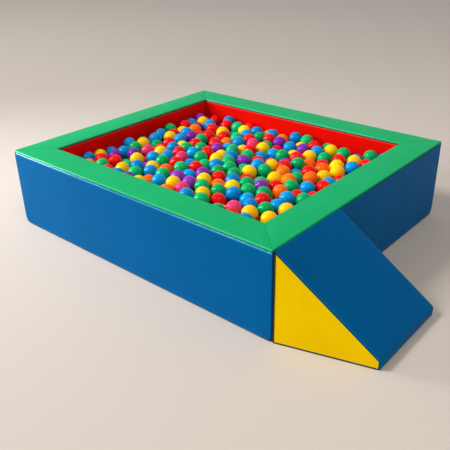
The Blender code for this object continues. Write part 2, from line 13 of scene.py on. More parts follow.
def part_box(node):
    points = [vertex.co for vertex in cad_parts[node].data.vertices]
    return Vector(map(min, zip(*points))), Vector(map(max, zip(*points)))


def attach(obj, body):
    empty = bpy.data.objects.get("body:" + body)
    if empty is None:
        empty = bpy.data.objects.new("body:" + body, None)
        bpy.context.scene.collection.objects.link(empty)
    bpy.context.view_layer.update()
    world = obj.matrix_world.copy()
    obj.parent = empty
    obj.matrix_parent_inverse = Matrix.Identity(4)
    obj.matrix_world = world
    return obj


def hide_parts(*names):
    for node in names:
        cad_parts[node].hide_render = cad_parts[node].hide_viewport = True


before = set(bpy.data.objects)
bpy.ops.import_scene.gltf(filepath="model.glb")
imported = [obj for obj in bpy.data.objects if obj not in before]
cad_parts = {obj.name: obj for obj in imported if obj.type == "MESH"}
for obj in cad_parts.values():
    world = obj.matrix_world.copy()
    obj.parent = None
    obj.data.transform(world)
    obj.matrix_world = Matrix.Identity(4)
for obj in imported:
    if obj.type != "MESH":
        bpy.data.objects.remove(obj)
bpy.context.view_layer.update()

# The pit's own sizes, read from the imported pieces.
topLow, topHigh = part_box("front_wall_top_panel")
pit = {
    "length": 2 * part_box("right_wall_outer_panel")[1].x,
    "width": 2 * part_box("back_wall_outer_panel")[1].y,
    "height": topHigh.z,
    "thickness": topHigh.y - topLow.y,
}
wallTurns = {"front": 0, "right": 1, "back": 2, "left": 3}  # quarter turns about the middle
print("frame loaded, pit", {name: round(size, 4) for name, size in pit.items()})


# Finishes

def put(socket, value):
    # The value is another node's output, a colour or a number.
    if isinstance(value, bpy.types.NodeSocket):
        socket.id_data.links.new(value, socket)
    else:
        socket.default_value = (*value, 1.0) if isinstance(value, tuple) else value


def addNode(tree, kind, output, inputs, **choices):
    made = tree.nodes.new("ShaderNode" + kind)
    for choice, value in choices.items():
        setattr(made, choice, value)
    for socket, value in inputs.items():
        put(made.inputs[socket], value)
    return made.outputs[output]


def noiseNode(place, scale, detail, roughness=0.5):
    inputs = {"Vector": place, "Scale": scale, "Detail": detail, "Roughness": roughness}
    return addNode(place.id_data, "TexNoise", "Fac", inputs)


def rangeNode(value, fromLow, fromHigh, toLow=0, toHigh=1):
    inputs = {"Value": value, "From Min": fromLow, "From Max": fromHigh, "To Min": toLow, "To Max": toHigh}
    return addNode(value.id_data, "MapRange", "Result", inputs)


def mixNode(factor, first, second):
    inputs = {"Factor": factor, 6: first, 7: second}  # 6 and 7 are its two colours, 2 the mixed one
    return addNode(factor.id_data, "Mix", 2, inputs, data_type="RGBA")


def mathNode(first, second, operation="MULTIPLY"):
    return addNode(first.id_data, "Math", "Value", {0: first, 1: second}, operation=operation)


def bumpNode(height, strength, distance, below=None):
    inputs = {"Height": height, "Strength": strength, "Distance": distance}
    if below is not None:
        inputs["Normal"] = below
    return addNode(height.id_data, "Bump", "Normal", inputs)


def newFinish(name):
    # An empty finish, and the place on the piece that its textures read.
    finish = bpy.data.materials.new(name)
    finish.use_nodes = True
    finish.node_tree.nodes.clear()
    return finish, addNode(finish.node_tree, "TexCoord", "Object", {})


def dress(finish, inputs):
    tree = finish.node_tree
    surface = addNode(tree, "BsdfPrincipled", "BSDF", inputs)
    put(tree.nodes.new("ShaderNodeOutputMaterial").inputs["Surface"], surface)
    return finish


def shade(colour, share):
    return tuple(min(1.0, channel * share) for channel in colour)


def lighten(colour, share):
    return tuple(channel + (1 - channel) * share for channel in colour)


def twoShades(value, ends, colour, shades):
    # From one shade of the colour to the other, as the value goes from end to end.
    return mixNode(rangeNode(value, *ends), *(shade(colour, share) for share in shades))


vinylLook = {
    # The ...Seam colours are painted highlights for the pale lines along seams and rolled edges; scuffs take
    # a darker shade of them.
    "blue": (0.0002, 0.103, 0.305), "blueSheen": (0.16, 1.0, 1.0), "blueSeam": (0.02, 0.56, 0.92),
    "green": (0.006, 0.334, 0.118), "greenSheen": (0.30, 0.70, 1.0), "greenSeam": (0.30, 0.92, 0.58),
    "red": (0.705, 0.0042, 0.0018), "redSheen": (1.0, 0.20, 0.18), "redSeam": (0.95, 0.16, 0.12),
    "yellow": (1.000, 0.645, 0.0001), "yellowSheen": (1.0, 0.80, 0.15), "yellowSeam": (0.95, 0.66, 0.10),
    "cloud": (4.5, 4.0), "cloudRange": (0.3, 0.7), "cloudShades": (0.95, 1.05),
    "seamHighlight": {"blue": 0.36, "green": 0.18, "red": 0.16, "yellow": 0.16},
    "grooveShade": 0.70, "grooveShadeTone": 0.12, "edgeFrom": 0.30,
    "scuff": (34, 9.0, 0.72), "scuffRange": (0.60, 0.72), "scuffShare": 0.08, "scuffDark": 0.6,
    "wornRange": (0.35, 0.72), "faceRough": (0.36, 0.48), "edgeRough": (0.19, 0.26),
    "faceGloss": 0.026, "edgeGloss": {"blue": 0.62, "green": 0.19, "red": 0.22, "yellow": 0.22},
    "grainScale": 620, "grainBump": (0.16, 0.00022), "swell": (22, 2.0), "swellBump": (0.07, 0.0022),
    "dustHeight": 0.030, "dustShare": 0.05, "dust": (0.42, 0.39, 0.35),
}


def vinylFinish(colourName, part="face"):
    # Coated cloth: pressed grain, slow clouds of colour, a painted highlight along seams and rolled edges and
    # painted shade down in the seam grooves, light scuffs and a trace of dust towards the floor. Over an edge
    # it is pulled smooth.
    look = vinylLook
    colour, highlightAndScuffColour = look[colourName], look[colourName + "Seam"]
    finish, place = newFinish(colourName + "_vinyl" + ("" if part == "face" else "_edge"))
    clouds = noiseNode(place, *look["cloud"])
    body = twoShades(clouds, look["cloudRange"], colour, look["cloudShades"])
    marks = {
        name: addNode(finish.node_tree, "Attribute", "Fac", {}, attribute_name=name)
        for name in ("seam", "groove")
    }
    # painted highlight: the pale seam colour is mixed in where the seam mark lies
    highlightShare = mathNode(marks["seam"], look["seamHighlight"][colourName])
    body = mixNode(highlightShare, body, highlightAndScuffColour)
    # painted shade: the colour darkens down in the seam groove and at the mitred ends, where shadow would
    # fall
    grooveShadeShare = mathNode(marks["groove"], look["grooveShade"])
    body = mixNode(grooveShadeShare, body, shade(colour, look["grooveShadeTone"]))
    scuff = noiseNode(place, *look["scuff"])
    scuffShare = rangeNode(scuff, *look["scuffRange"], 0, look["scuffShare"])
    body = mixNode(scuffShare, body, shade(highlightAndScuffColour, look["scuffDark"]))
    height = addNode(finish.node_tree, "SeparateXYZ", "Z", {"Vector": place})
    low = rangeNode(height, 0, look["dustHeight"], look["dustShare"], 0)
    grain = {"Vector": place, "Scale": look["grainScale"]}
    pebble = addNode(finish.node_tree, "TexVoronoi", "Distance", grain, feature="SMOOTH_F1")
    broad = bumpNode(noiseNode(place, *look["swell"]), *look["swellBump"])
    return dress(finish, {
        "Base Color": mixNode(mathNode(low, clouds), body, look["dust"]),
        "Roughness": rangeNode(scuff, *look["wornRange"], *look[part + "Rough"]),
        "Normal": bumpNode(pebble, *look["grainBump"], broad),
        "Specular IOR Level": look["faceGloss"] if part == "face" else look["edgeGloss"][colourName],
        "Specular Tint": look[colourName + "Sheen"],
    })


# Each colour of ball: its darker and lighter shade and the tint of its gloss.
ballLook = {
    "red": ((0.660, 0.0001, 0.0005), (0.790, 0.0005, 0.002), (1.0, 0.50, 0.50)),
    "blue": ((0.0001, 0.165, 0.500), (0.0002, 0.275, 0.680), (0.14, 1.0, 0.90)),
    "green": ((0.0001, 0.300, 0.075), (0.0003, 0.430, 0.125), (0.20, 1.0, 0.95)),
    "yellow": ((0.880, 0.470, 0.0001), (0.920, 0.570, 0.0002), (1.0, 0.75, 0.25)),
    "purple": ((0.140, 0.010, 0.280), (0.235, 0.030, 0.410), (0.80, 0.45, 1.0)),
    "orange": ((0.860, 0.100, 0.0002), (0.910, 0.180, 0.0008), (1.0, 0.65, 0.30)),
    "pink": ((0.640, 0.015, 0.100), (0.720, 0.034, 0.155), (1.0, 0.60, 0.76)),
    "rub": (130, 6.0, 0.7), "rubRange": (0.58, 0.75, 0, 0.05), "rubLighten": 0.35,
    "roughRange": (0.3, 0.75, 0.18, 0.25), "wave": (40, 2.0), "waveBump": (0.05, 0.0012), "gloss": 0.24,
}


def ballFinish(colourName):
    # Blown plastic: each ball has its own shade, with fine rubs and a slight waviness.
    look = ballLook
    darker, lighter, tint = look[colourName]
    finish, place = newFinish(colourName + "_ball_plastic")
    shuffled = addNode(finish.node_tree, "NewGeometry", "Random Per Island", {})
    each = mixNode(shuffled, darker, lighter)
    rub = noiseNode(place, *look["rub"])
    rubShare = rangeNode(rub, *look["rubRange"])
    return dress(finish, {
        "Base Color": mixNode(rubShare, each, lighten(lighter, look["rubLighten"])),
        "Roughness": rangeNode(rub, *look["roughRange"]),
        "Normal": bumpNode(noiseNode(place, *look["wave"]), *look["waveBump"]),
        "Specular IOR Level": look["gloss"], "Specular Tint": tint,
    })


clothLook = {
    "distortion": 0.6, "threadDepth": 0.0005, "fibre": (420, 5.0, 0.7), "fibreRange": (0.3, 0.7),
    "shades": (0.7, 1.5),
}


def clothFinish(name, colour, threads, strength=0.5, rough=0.85):
    # Woven cloth: two crossing sets of threads.
    look = clothLook
    finish, place = newFinish(name)
    height = None
    for direction in ("X", "Z"):
        inputs = {"Vector": place, "Scale": threads, "Distortion": look["distortion"]}
        thread = addNode(finish.node_tree, "TexWave", "Fac", inputs, bands_direction=direction)
        height = bumpNode(thread, strength, look["threadDepth"], height)
    body = twoShades(noiseNode(place, *look["fibre"]), look["fibreRange"], colour, look["shades"])
    return dress(finish, {"Base Color": body, "Normal": height, "Roughness": rough})


grainLook = {
    "detail": 6.0, "roughness": 0.75, "colourRange": (0.35, 0.65), "shades": (0.75, 1.25),
    "strength": 0.7, "roughRange": (0.3, 0.7), "smoother": 0.08, "rougher": 0.04,
}


def grainyFinish(name, colour, scale, depth, rough, metal=0.0):
    # Foam, hooks, loops and painted metal: one grain, from coarse cells to fine peel.
    look = grainLook
    finish, place = newFinish(name)
    grain = noiseNode(place, scale, look["detail"], look["roughness"])
    roughEnds = (rough - look["smoother"], rough + look["rougher"])
    return dress(finish, {
        "Base Color": twoShades(grain, look["colourRange"], colour, look["shades"]),
        "Normal": bumpNode(grain, look["strength"], depth),
        "Roughness": rangeNode(grain, *look["roughRange"], *roughEnds), "Metallic": metal,
    })


vinylColours = ("blue", "green", "red", "yellow")
finishes = {name: vinylFinish(name) for name in vinylColours}
edgeFinishes = {name: vinylFinish(name, "edge") for name in vinylColours}
finishes["baseCloth"] = clothFinish("black_base_cloth", (0.022, 0.022, 0.025), 260)
finishes["tape"] = clothFinish("zip_tape_cloth", (0.015, 0.017, 0.022), 420)
finishes["foam"] = grainyFinish("polyether_foam", (0.72, 0.66, 0.44), 520, 0.0010, 0.95)
finishes["hook"] = grainyFinish("hook_tape", (0.012, 0.012, 0.014), 900, 0.0012, 0.75)
finishes["loop"] = grainyFinish("loop_tape", (0.028, 0.028, 0.032), 650, 0.0016, 0.96)
finishes["slider"] = grainyFinish("slider_paint", (0.035, 0.035, 0.040), 300, 0.0002, 0.38, 0.8)
finishes["thread"] = clothFinish("seam_thread", (0.10, 0.36, 0.34), 900, 0.6, 0.7)
print("finishes made", len(finishes))


# Mesh helpers

def intoScene(name, data):
    thing = bpy.data.objects.new(name, data)
    bpy.context.scene.collection.objects.link(thing)
    return thing


def placePiece(name, mesh, finish, body, replaced):
    mesh.materials.append(finish)
    piece = intoScene(name, mesh)
    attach(piece, body)
    if replaced:
        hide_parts(*replaced)
    return piece


def addPiece(name, vertices, faces, finish, body, replaced=()):
    mesh = bpy.data.meshes.new(name)
    mesh.from_pydata([tuple(vertex) for vertex in vertices], [], faces)
    mesh.validate()
    mesh.shade_smooth()
    return placePiece(name, mesh, finish, body, replaced)


def markPoints(piece, name, values):
    marks = piece.data.attributes.new(name, "FLOAT", "POINT")
    marks.data.foreach_set("value", np.asarray(values, dtype=np.float32).ravel())


def smoothEdges(piece, rolled, finish):
    # The faces that roll over an edge get the smooth finish.
    piece.data.materials.append(finish)
    for face in piece.data.polygons:
        share = sum(rolled[corner] for corner in face.vertices) / len(face.vertices)
        face.material_index = int(share > vinylLook["edgeFrom"])


def thicken(piece, thickness):
    # The sheet's back face lies inward of the modelled one.
    sheetDepth = piece.modifiers.new("sheet_thickness", "SOLIDIFY")
    sheetDepth.thickness = thickness
    sheetDepth.offset = -1


def ringFaces(rings, across, closed):
    # Quads between neighbouring rows of a grid, and round it where the rows are closed.
    faces = []
    for row in range(rings - 1):
        here, above = row * across, (row + 1) * across
        for column in range(across if closed else across - 1):
            beside = (column + 1) % across
            faces.append((here + column, here + beside, above + beside, above + column))
    return faces


def facing(vertices, faces, index, direction):
    # Turns every face over if the one given looks away from the direction.
    a, b, c = (Vector(vertices[corner]) for corner in faces[index][:3])
    if (b - a).cross(c - b).dot(Vector(direction)) < 0:
        return [face[::-1] for face in faces]
    return faces


def roundedOutline(corners, radius, inset, steps=6):
    # Counter-clockwise corners, rounded, and moved inward by the inset.
    points = []
    count = len(corners)
    for index in range(count):
        before, corner, after = corners[index - 1], corners[index], corners[(index + 1) % count]
        runIn, runOut = (corner - before).normalized(), (after - corner).normalized()
        inwardIn, inwardOut = Vector((-runIn.y, runIn.x)), Vector((-runOut.y, runOut.x))
        bisector = (inwardIn + inwardOut).normalized()
        centre = corner + bisector * (radius / bisector.dot(inwardIn))
        start = math.atan2(-inwardIn.y, -inwardIn.x)
        turn = math.atan2(runIn.cross(runOut), runIn.dot(runOut))
        for step in range(steps + 1):
            angle = start + turn * step / steps
            points.append(centre + Vector((math.cos(angle), math.sin(angle))) * (radius - inset))
    return points


def evenOutline(points, pitch):
    # The same closed line with a point about every pitch.
    even = []
    for here, there in zip(points, points[1:] + points[:1]):
        parts = max(1, int((there - here).length / pitch))
        even += [here.lerp(there, part / parts) for part in range(parts)]
    return even


def waves(seed, longest, shortest, count=5):
    # A slow irregular swell over a surface, as a sum of a few seeded waves.
    dice = random.Random(seed)
    parts = []
    for _ in range(count):
        length = shortest + (longest - shortest) * dice.random()
        heading = dice.uniform(0, math.pi)
        turns = (math.tau * math.cos(heading) / length, math.tau * math.sin(heading) / length)
        parts.append((*turns, dice.uniform(0, math.tau)))
    return lambda along, across: sum(np.sin(a * along + b * across + c) for a, b, c in parts) / count


# Ball fill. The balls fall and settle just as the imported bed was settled, in units of one
# ball diameter, so every cap of the bed has its whole ball here.

fillLook = {
    "diameter": 0.075, "top": 0.343, "packing": 0.55, "seed": 11, "sheet": 0.70, "sheetDrop": 0.30,
    "pitch": 1.08, "row": 0.87, "scatter": 0.25, "fall": 0.03, "sink": 0.004, "shake": 0.07,
    "calm": 0.3, "pairReach": 1.35, "floor": 1e-9, "fallSteps": 120, "restSteps": 240,
    "pairSteps": 6, "partingTurns": 3, "digits": (4, 6),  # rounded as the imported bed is
    "coveredReach": 0.62, "coveredRise": 0.30, "slack": 0.0002, "slimming": 4,
    "mixSeed": 5, "mixReach": 1.25, "mixRepeat": 0.12,
    "mix": {"green": 26, "blue": 28, "red": 23, "yellow": 14, "purple": 5, "orange": 3, "pink": 1},
}


def nearPairs(centres, reach):
    across = centres[:, None, 0] - centres[None, :, 0]
    along = centres[:, None, 1] - centres[None, :, 1]
    up = centres[:, None, 2] - centres[None, :, 2]
    close = across * across + along * along + up * up < reach * reach
    return np.nonzero(np.triu(close, 1))


def pouredBalls(spanX, spanY, count, dice):
    look = fillLook
    places = []
    layer = 0
    while len(places) < count:
        sheet = []
        row = 0
        y = 0.5 * (1 + layer % 2 / 2)
        while y < spanY - 0.5:
            x = 0.5 * (1 + (row + layer) % 2 * look["pitch"])
            while x < spanX - 0.5:
                throw = [dice.uniform(-look["scatter"], look["scatter"]) for _ in range(3)]
                level = 0.5 + layer * look["pitch"]
                sheet.append((x + throw[0], y + throw[1], level + throw[2]))
                x += look["pitch"]
            y += look["pitch"] * look["row"]
            row += 1
        spare = max(len(places) + len(sheet) - count, 0)
        dice.shuffle(sheet)
        places += sheet[spare:]
        layer += 1
    return np.array(places)


def partTheTouching(centres, pairs, lowest, highest):
    first, second = pairs
    gap = centres[first] - centres[second]
    reach = gap[:, 0] * gap[:, 0] + gap[:, 1] * gap[:, 1] + gap[:, 2] * gap[:, 2]
    reach = np.sqrt(reach) + fillLook["floor"]
    move = gap * (np.maximum(1 - reach, 0) * 0.5 / reach)[:, None]
    np.add.at(centres, first, move)
    np.add.at(centres, second, -move)
    centres[:] = np.clip(centres, lowest, highest)


def settledBalls():
    look = fillLook
    low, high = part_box("ball_bed")
    fine, finer = look["digits"]
    corner = np.array(low).round(fine)
    lengths = [round(length, fine) for length in (high.x - low.x, high.y - low.y, look["top"] - low.z)]
    spans = [round(length / look["diameter"], finer) for length in lengths]
    count = int(look["packing"] * spans[0] * spans[1] * spans[2] / (math.pi / 6))
    dice = random.Random(look["seed"])
    raked = int(look["sheet"] * spans[0] * spans[1])
    under = pouredBalls(spans[0], spans[1], count - raked, dice)
    sheet = pouredBalls(spans[0], spans[1], raked, dice)
    centres = np.concatenate([under, sheet])
    lowest = np.full((count, 3), 0.5)
    highest = lowest * 0 + np.array(spans) - 0.5
    drops = np.array([look["sheetDrop"] * dice.random() for _ in range(raked)])
    centres[count - raked:, 2] = highest[0, 2]
    lowest[count - raked:, 2] = highest[0, 2] - drops
    for step in range(look["fallSteps"] + look["restSteps"]):
        if step % look["pairSteps"] == 0:
            pairs = nearPairs(centres, look["pairReach"])
        if step < look["fallSteps"]:
            left = 1 - step / look["fallSteps"]
            centres[:, 2] -= look["fall"] * left + look["sink"]
            if left > look["calm"]:
                for axis in (0, 1):
                    shake = [dice.uniform(-look["shake"], look["shake"]) * left for _ in range(count)]
                    centres[:, axis] += np.array(shake)
        for _ in range(look["partingTurns"]):
            partTheTouching(centres, pairs, lowest, highest)
    return corner + centres * look["diameter"]


ballShape = {
    "fineSegments": 24, "plainSegments": 14, "plainRings": 9,
    "nubAngles": (3.2, 5.6), "nubSink": 0.0004, "fineStep": 12.0,
    "ridgeFoot": 2.6, "ridgeAngle": 1.3, "ridgeTop": 0.78, "ridgeHeight": 0.00028,
}


def ballTemplate(fine):
    # Polar profile of one ball: moulding nub at a pole, and the ridge of the parting line.
    radius = fillLook["diameter"] / 2 - fillLook["slack"]
    look = ballShape
    if fine:
        foot, top = 90 - look["ridgeFoot"], 90 - look["ridgeTop"]
        angles = list(look["nubAngles"])
        angles += [look["fineStep"] * step for step in range(1, int(90 / look["fineStep"]) + 1)]
        angles = [angle for angle in angles if angle < foot] + [foot, top]
        angles += [180 - angle for angle in reversed(angles)]
        segments = look["fineSegments"]
    else:
        segments = look["plainSegments"]
        angles = [180 * step / look["plainRings"] for step in range(1, look["plainRings"])]
    vertices = [(0, 0, radius - (look["nubSink"] if fine else 0))]
    for angle in angles:
        reach = radius
        if fine and angle == look["nubAngles"][0]:
            reach -= look["nubSink"]
        if fine and abs(angle - 90) < look["ridgeAngle"]:
            reach += look["ridgeHeight"]
        ring = math.sin(math.radians(angle)) * reach
        level = math.cos(math.radians(angle)) * reach
        for segment in range(segments):
            turn = math.tau * segment / segments
            vertices.append((ring * math.cos(turn), ring * math.sin(turn), level))
    vertices.append((0, 0, -radius))
    last = len(vertices) - 1
    faces = [(0, 1 + segment, 1 + (segment + 1) % segments) for segment in range(segments)]
    for row in range(len(angles) - 1):
        for segment in range(segments):
            beside = (segment + 1) % segments
            here, below = 1 + row * segments, 1 + (row + 1) * segments
            faces.append((here + segment, below + segment, below + beside, here + beside))
    foot = last - segments
    faces += [(last, foot + (segment + 1) % segments, foot + segment) for segment in range(segments)]
    return np.array(vertices), faces


def turnedAtRandom(dice):
    axis = Vector((dice.gauss(0, 1), dice.gauss(0, 1), dice.gauss(0, 1))).normalized()
    turn = Matrix.Rotation(dice.uniform(0, math.tau), 3, axis)
    slim = 1 - dice.random() * fillLook["slack"] / fillLook["diameter"] * fillLook["slimming"]
    return np.array(turn @ Matrix.Diagonal((1, 1, slim)))


def ballGroup(name, places, fineFlags, dice, finish, body, replaced):
    templates = {True: ballTemplate(True), False: ballTemplate(False)}
    vertices, faces = [], []
    for place, fine in zip(places, fineFlags):
        shape, shapeFaces = templates[bool(fine)]
        base = len(vertices)
        vertices.extend((shape @ turnedAtRandom(dice).T + place).tolist())
        faces.extend([tuple(base + corner for corner in face) for face in shapeFaces])
    return addPiece(name, vertices, faces, finish, body, replaced)


def mixedColours(centres, dice):
    # From the top down, a colour that a touching ball has already is drawn more seldom.
    look = fillLook
    names = list(look["mix"])
    colours = [None] * len(centres)
    for index in sorted(range(len(centres)), key=lambda ball: -centres[ball][2]):
        beside = np.linalg.norm(centres - centres[index], axis=1) < look["mixReach"] * look["diameter"]
        near = {colours[other] for other in np.nonzero(beside)[0]}
        weights = [look["mix"][name] * (look["mixRepeat"] if name in near else 1) for name in names]
        colours[index] = dice.choices(names, weights)[0]
    return colours


def makeBalls():
    look = fillLook
    centres = settledBalls()
    looseNames = sorted(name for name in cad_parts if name.startswith("loose_ball_"))
    taken = {}
    worst = 0
    for name in looseNames:
        middle = np.array(sum(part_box(name), Vector()) / 2)
        misses = np.linalg.norm(centres - middle, axis=1)
        taken[int(misses.argmin())] = name
        worst = max(worst, misses.min())
    print("balls settled", len(centres), "loose ones within", round(worst * 1000, 3), "mm of their places")

    apart = np.hypot(*(centres[:, None, axis] - centres[None, :, axis] for axis in (0, 1)))
    rise = centres[None, :, 2] - centres[:, None, 2]
    above, beside = (look[name] * look["diameter"] for name in ("coveredRise", "coveredReach"))
    shown = ~((rise > above) & (apart < beside)).any(axis=1)
    dice = random.Random(look["mixSeed"])
    colours = mixedColours(centres, dice)
    for colour in look["mix"]:
        finish = ballFinish(colour)
        chosen = [ball for ball in range(len(centres)) if colours[ball] == colour and ball not in taken]
        ballGroup("balls_" + colour, centres[chosen], shown[chosen], dice, finish, "pit_base", ["ball_bed"])
        for ball, node in taken.items():
            if node == "loose_ball_" + colour:
                single = centres[[ball]]
                lifted = ballGroup("lifted_ball_" + colour, single, [True], dice, finish, node, [node])
    print("balls made, in the top layer", int(shown.sum()))


makeBalls()


# Sewn covers. A panel runs across a section, in depth and height, and along the block. At
# its seams and at its ends it rolls inward and ends in a turned-in hem.

coverLook = {
    "thickness": 0.0009, "hem": 0.0050, "endInset": 0.0003, "endRoll": 0.0013,
    "topRadius": 0.0046, "baseRadius": 0.0090, "seamDrop": 0.0116, "seamGap": 0.0018,
    "topRoll": 0.0052, "innerRoll": 0.0044, "baseRoll": 0.0022, "innerEndRoll": 0.0036,
    "outerRoll": {"front": 0.0043, "right": 0.0024, "back": 0.0043, "left": 0.0043},
    "baseSeam": 0.0120, "columnPitch": 0.0080, "rowCount": 24, "arcSteps": 6, "rollSteps": 5,
    "swell": 0.00045, "pucker": 0.00028, "puckerReach": 0.010, "cornerFold": 0.0007,
    "softCorner": 0.0080, "softReach": 0.013, "lowest": 0.0002, "flat": 1e-6,
    "crown": {"outer": 0.0016, "top": 0.0020, "inner": 0.0002, "behindRamp": 0.00048},
    "slowWaves": (0.55, 0.16), "quickWaves": (0.060, 0.026), "foldWaves": (0.045, 0.022),
    "endFade": 0.04, "seamFade": 0.03, "foldReach": 0.05, "foldClear": 0.01,
    # strengths and reaches of the painted highlight on shoulders, bends and ends, and of the painted shade in
    # grooves and at the ends
    "shoulderWide": 0.6, "shoulderMore": 0.001, "bentLight": 0.4, "endReach": 0.003, "wallEndLight": 0.1,
    "rampSideLight": 0.25, "grooveFull": 1.1, "endPaintedShade": (1.6, 0.2),
    "sectionCluster": 0.78, "lengthCluster": 0.45,
}


def straightShares(count, cluster):
    # From 0 to 1, closer together towards both ends.
    shares = [step / count for step in range(count + 1)]
    return [share - cluster * math.sin(math.tau * share) / math.tau for share in shares]


def seamRows(corner, run, out, roll):
    # From the hem round the roll, for a panel that runs away from the corner.
    look = coverLook
    rows = [(corner - out * (roll + look["hem"]), -run, 0)]
    middle = corner + (run - out) * roll
    for step in range(look["rollSteps"]):
        angle = math.pi / 2 * (1 - step / look["rollSteps"])
        turned = out * math.cos(angle) - run * math.sin(angle)
        rows.append((middle + turned * roll, turned, 0))
    return rows


def sectionRows(corners, radii, startRoll, endRoll, rowCount):
    # Rows of (place, outward direction, share of the crown) from one seam to the other.
    look = coverLook
    runs = [(b - a).normalized() for a, b in zip(corners, corners[1:])]
    outs = [Vector((run.y, -run.x)) for run in runs]
    rows = seamRows(corners[0], runs[0], outs[0], startRoll)
    total = sum((b - a).length for a, b in zip(corners, corners[1:]))
    begin = startRoll
    for leg, (run, out) in enumerate(zip(runs, outs)):
        end = (corners[leg + 1] - corners[leg]).length
        last = leg + 1 == len(runs)
        if last:
            end -= endRoll
        else:
            turn = math.atan2(run.cross(runs[leg + 1]), run.dot(runs[leg + 1]))
            radius = radii[leg]
            end -= radius * math.tan(turn / 2)
        count = max(2, int(rowCount * (end - begin) / total + 0.5))
        for share in straightShares(count, look["sectionCluster"]):
            place = corners[leg] + run * (begin + (end - begin) * share)
            rows.append((place, out, math.sin(math.pi * share)))
        if not last:
            centre = corners[leg] + run * end - out * radius
            for step in range(1, look["arcSteps"]):
                angle = turn * step / look["arcSteps"]
                arcOut = out * math.cos(angle) + run * math.sin(angle)
                rows.append((centre + arcOut * radius, arcOut, 0))
            begin = radius * math.tan(turn / 2)
    return rows + seamRows(corners[-1], -runs[-1], outs[-1], endRoll)[::-1]


def blockColumns(length, roll):
    # Columns of (share of the half length, shift, sink) from one end of the block to the other.
    look = coverLook
    left = [(-1, 0, roll + look["hem"])]
    for step in range(look["rollSteps"]):
        angle = math.pi / 2 * (1 - step / look["rollSteps"])
        left.append((-1, roll * (1 - math.sin(angle)), roll * (1 - math.cos(angle))))
    count = int(length / look["columnPitch"])
    middle = []
    for share in straightShares(count, look["lengthCluster"]):
        side = 2 * share - 1
        middle.append((side, -side * roll, 0))
    right = [(1, -shift, sink) for _, shift, sink in reversed(left)]
    return np.array(left + middle + right)


def atSeams(way, rolls, measure):
    # The greater of what a measure gives for the two seams, from the way to each and its roll.
    hem = coverLook["hem"]
    return np.maximum(measure(way - hem, rolls[0]), measure(way[-1] - way - hem, rolls[1]))


def coverPanel(name, rows, length, halfAt, toFrame, finish, body, node, settings):
    # settings: crown, end roll, soft corners, seed, rolls at the seams, light on seams and ends, colour
    look = coverLook
    side, shift, sink = blockColumns(length, settings["endRoll"]).T
    places, outs, crowns = (np.array(column) for column in zip(*rows))
    way = np.concatenate([[0], np.cumsum(np.linalg.norm(np.diff(places, axis=0), axis=1))])
    rowDepth, rowHeight, outDepth, outHeight, crowns, seamWay = (
        values[:, None] for values in (*places.T, *outs.T, crowns, np.minimum(way, way[-1] - way))
    )
    along = side * length / 2 + shift
    endWay = np.maximum(length / 2 - np.abs(along), 0)

    # the swell of the cloth, puckers along its seams and folds at its corners
    grid = np.meshgrid(along, way)
    slow, quick, folds = (
        waves(settings["seed"] + turn, *look[name])(*grid)
        for turn, name in enumerate(("slowWaves", "quickWaves", "foldWaves"))
    )
    fade = np.clip(endWay / look["endFade"], 0, 1)
    lift = crowns * settings["crown"] * fade
    lift = lift + slow * look["swell"] * np.clip(seamWay / look["seamFade"], 0, 1) * fade
    lift = lift + quick * look["pucker"] * np.exp(-seamWay / look["puckerReach"]) * fade
    reach = np.hypot(seamWay, endWay)
    folds = folds * look["cornerFold"] * np.exp(-(reach / look["foldReach"]) ** 2)
    lift = lift + folds * np.clip(reach / look["foldClear"], 0, 1)

    # the lower corners give way, and nothing goes under the floor
    pull = settings["soft"] * np.exp(-rowHeight / look["softReach"]) * np.exp(-endWay / look["softReach"])
    move = lift - sink
    depth = rowDepth + outDepth * move
    depth = depth + pull * np.exp(-np.maximum(depth, 0) / look["softReach"])
    height = np.maximum(rowHeight + outHeight * move, look["lowest"])
    local = np.stack([side * halfAt(depth) + shift, depth, height], axis=-1).reshape(-1, 3)
    matrix = np.array(toFrame)
    vertices = local @ matrix[:3, :3].T + matrix[:3, 3]
    across, middleRow = len(side), len(rows) // 2
    outward = matrix[:3, :3] @ np.array([0, *outs[middleRow]])
    faces = ringFaces(len(rows), across, False)
    faces = facing(vertices, faces, middleRow * (across - 1) + across // 2, outward)
    piece = addPiece(name, vertices, faces, finish, body, [node])

    # painted highlight where it rolls over an edge or seam and at its ends (weaker on the right wall, away
    # from the lamps), and painted shade down in the groove
    shoulder = atSeams(way, settings["rolls"], lambda run, roll: np.exp(
        -((run - roll) / (look["shoulderWide"] * roll + look["shoulderMore"])) ** 2
    ))[:, None]
    bent = np.minimum(np.abs(outDepth), outHeight) * math.sqrt(2)
    bent = bent * (crowns < look["flat"]) * (rowHeight > pit["height"] / 2)  # upper edges only
    # the seam mark is a painted highlight: shoulders, upper bends and ends are lightened in the finish
    light, ends = settings["shoulderLight"], settings["endLight"] * np.exp(-endWay / look["endReach"])
    markPoints(piece, "seam", np.maximum(light * np.maximum(shoulder, bent * look["bentLight"]), ends))
    # the groove mark is painted shade: seam grooves and mitred ends are darkened in the finish
    groove = atSeams(way, settings["rolls"], lambda run, roll: np.clip(look["grooveFull"] - run / roll, 0, 1))
    steep, late = look["endPaintedShade"]
    endPaintedShade = np.clip(sink / settings["endRoll"] * steep - late, 0, 1)
    markPoints(piece, "groove", np.maximum(groove[:, None], endPaintedShade))
    smoothEdges(
        piece, np.repeat(light * np.maximum(shoulder, bent), across), edgeFinishes[settings["colour"]],
    )
    thicken(piece, look["thickness"])


def wallPlacement(name):
    reach = pit["width"] / 2 if name in ("front", "back") else pit["length"] / 2
    return Matrix.Rotation(wallTurns[name] * math.pi / 2, 4, "Z") @ Matrix.Translation((0, -reach, 0))


def wallLength(name):
    return pit["length"] if name in ("front", "back") else pit["width"]


def mitredHalf(length, inset):
    return lambda depth: length / 2 - depth - inset * math.sqrt(2)


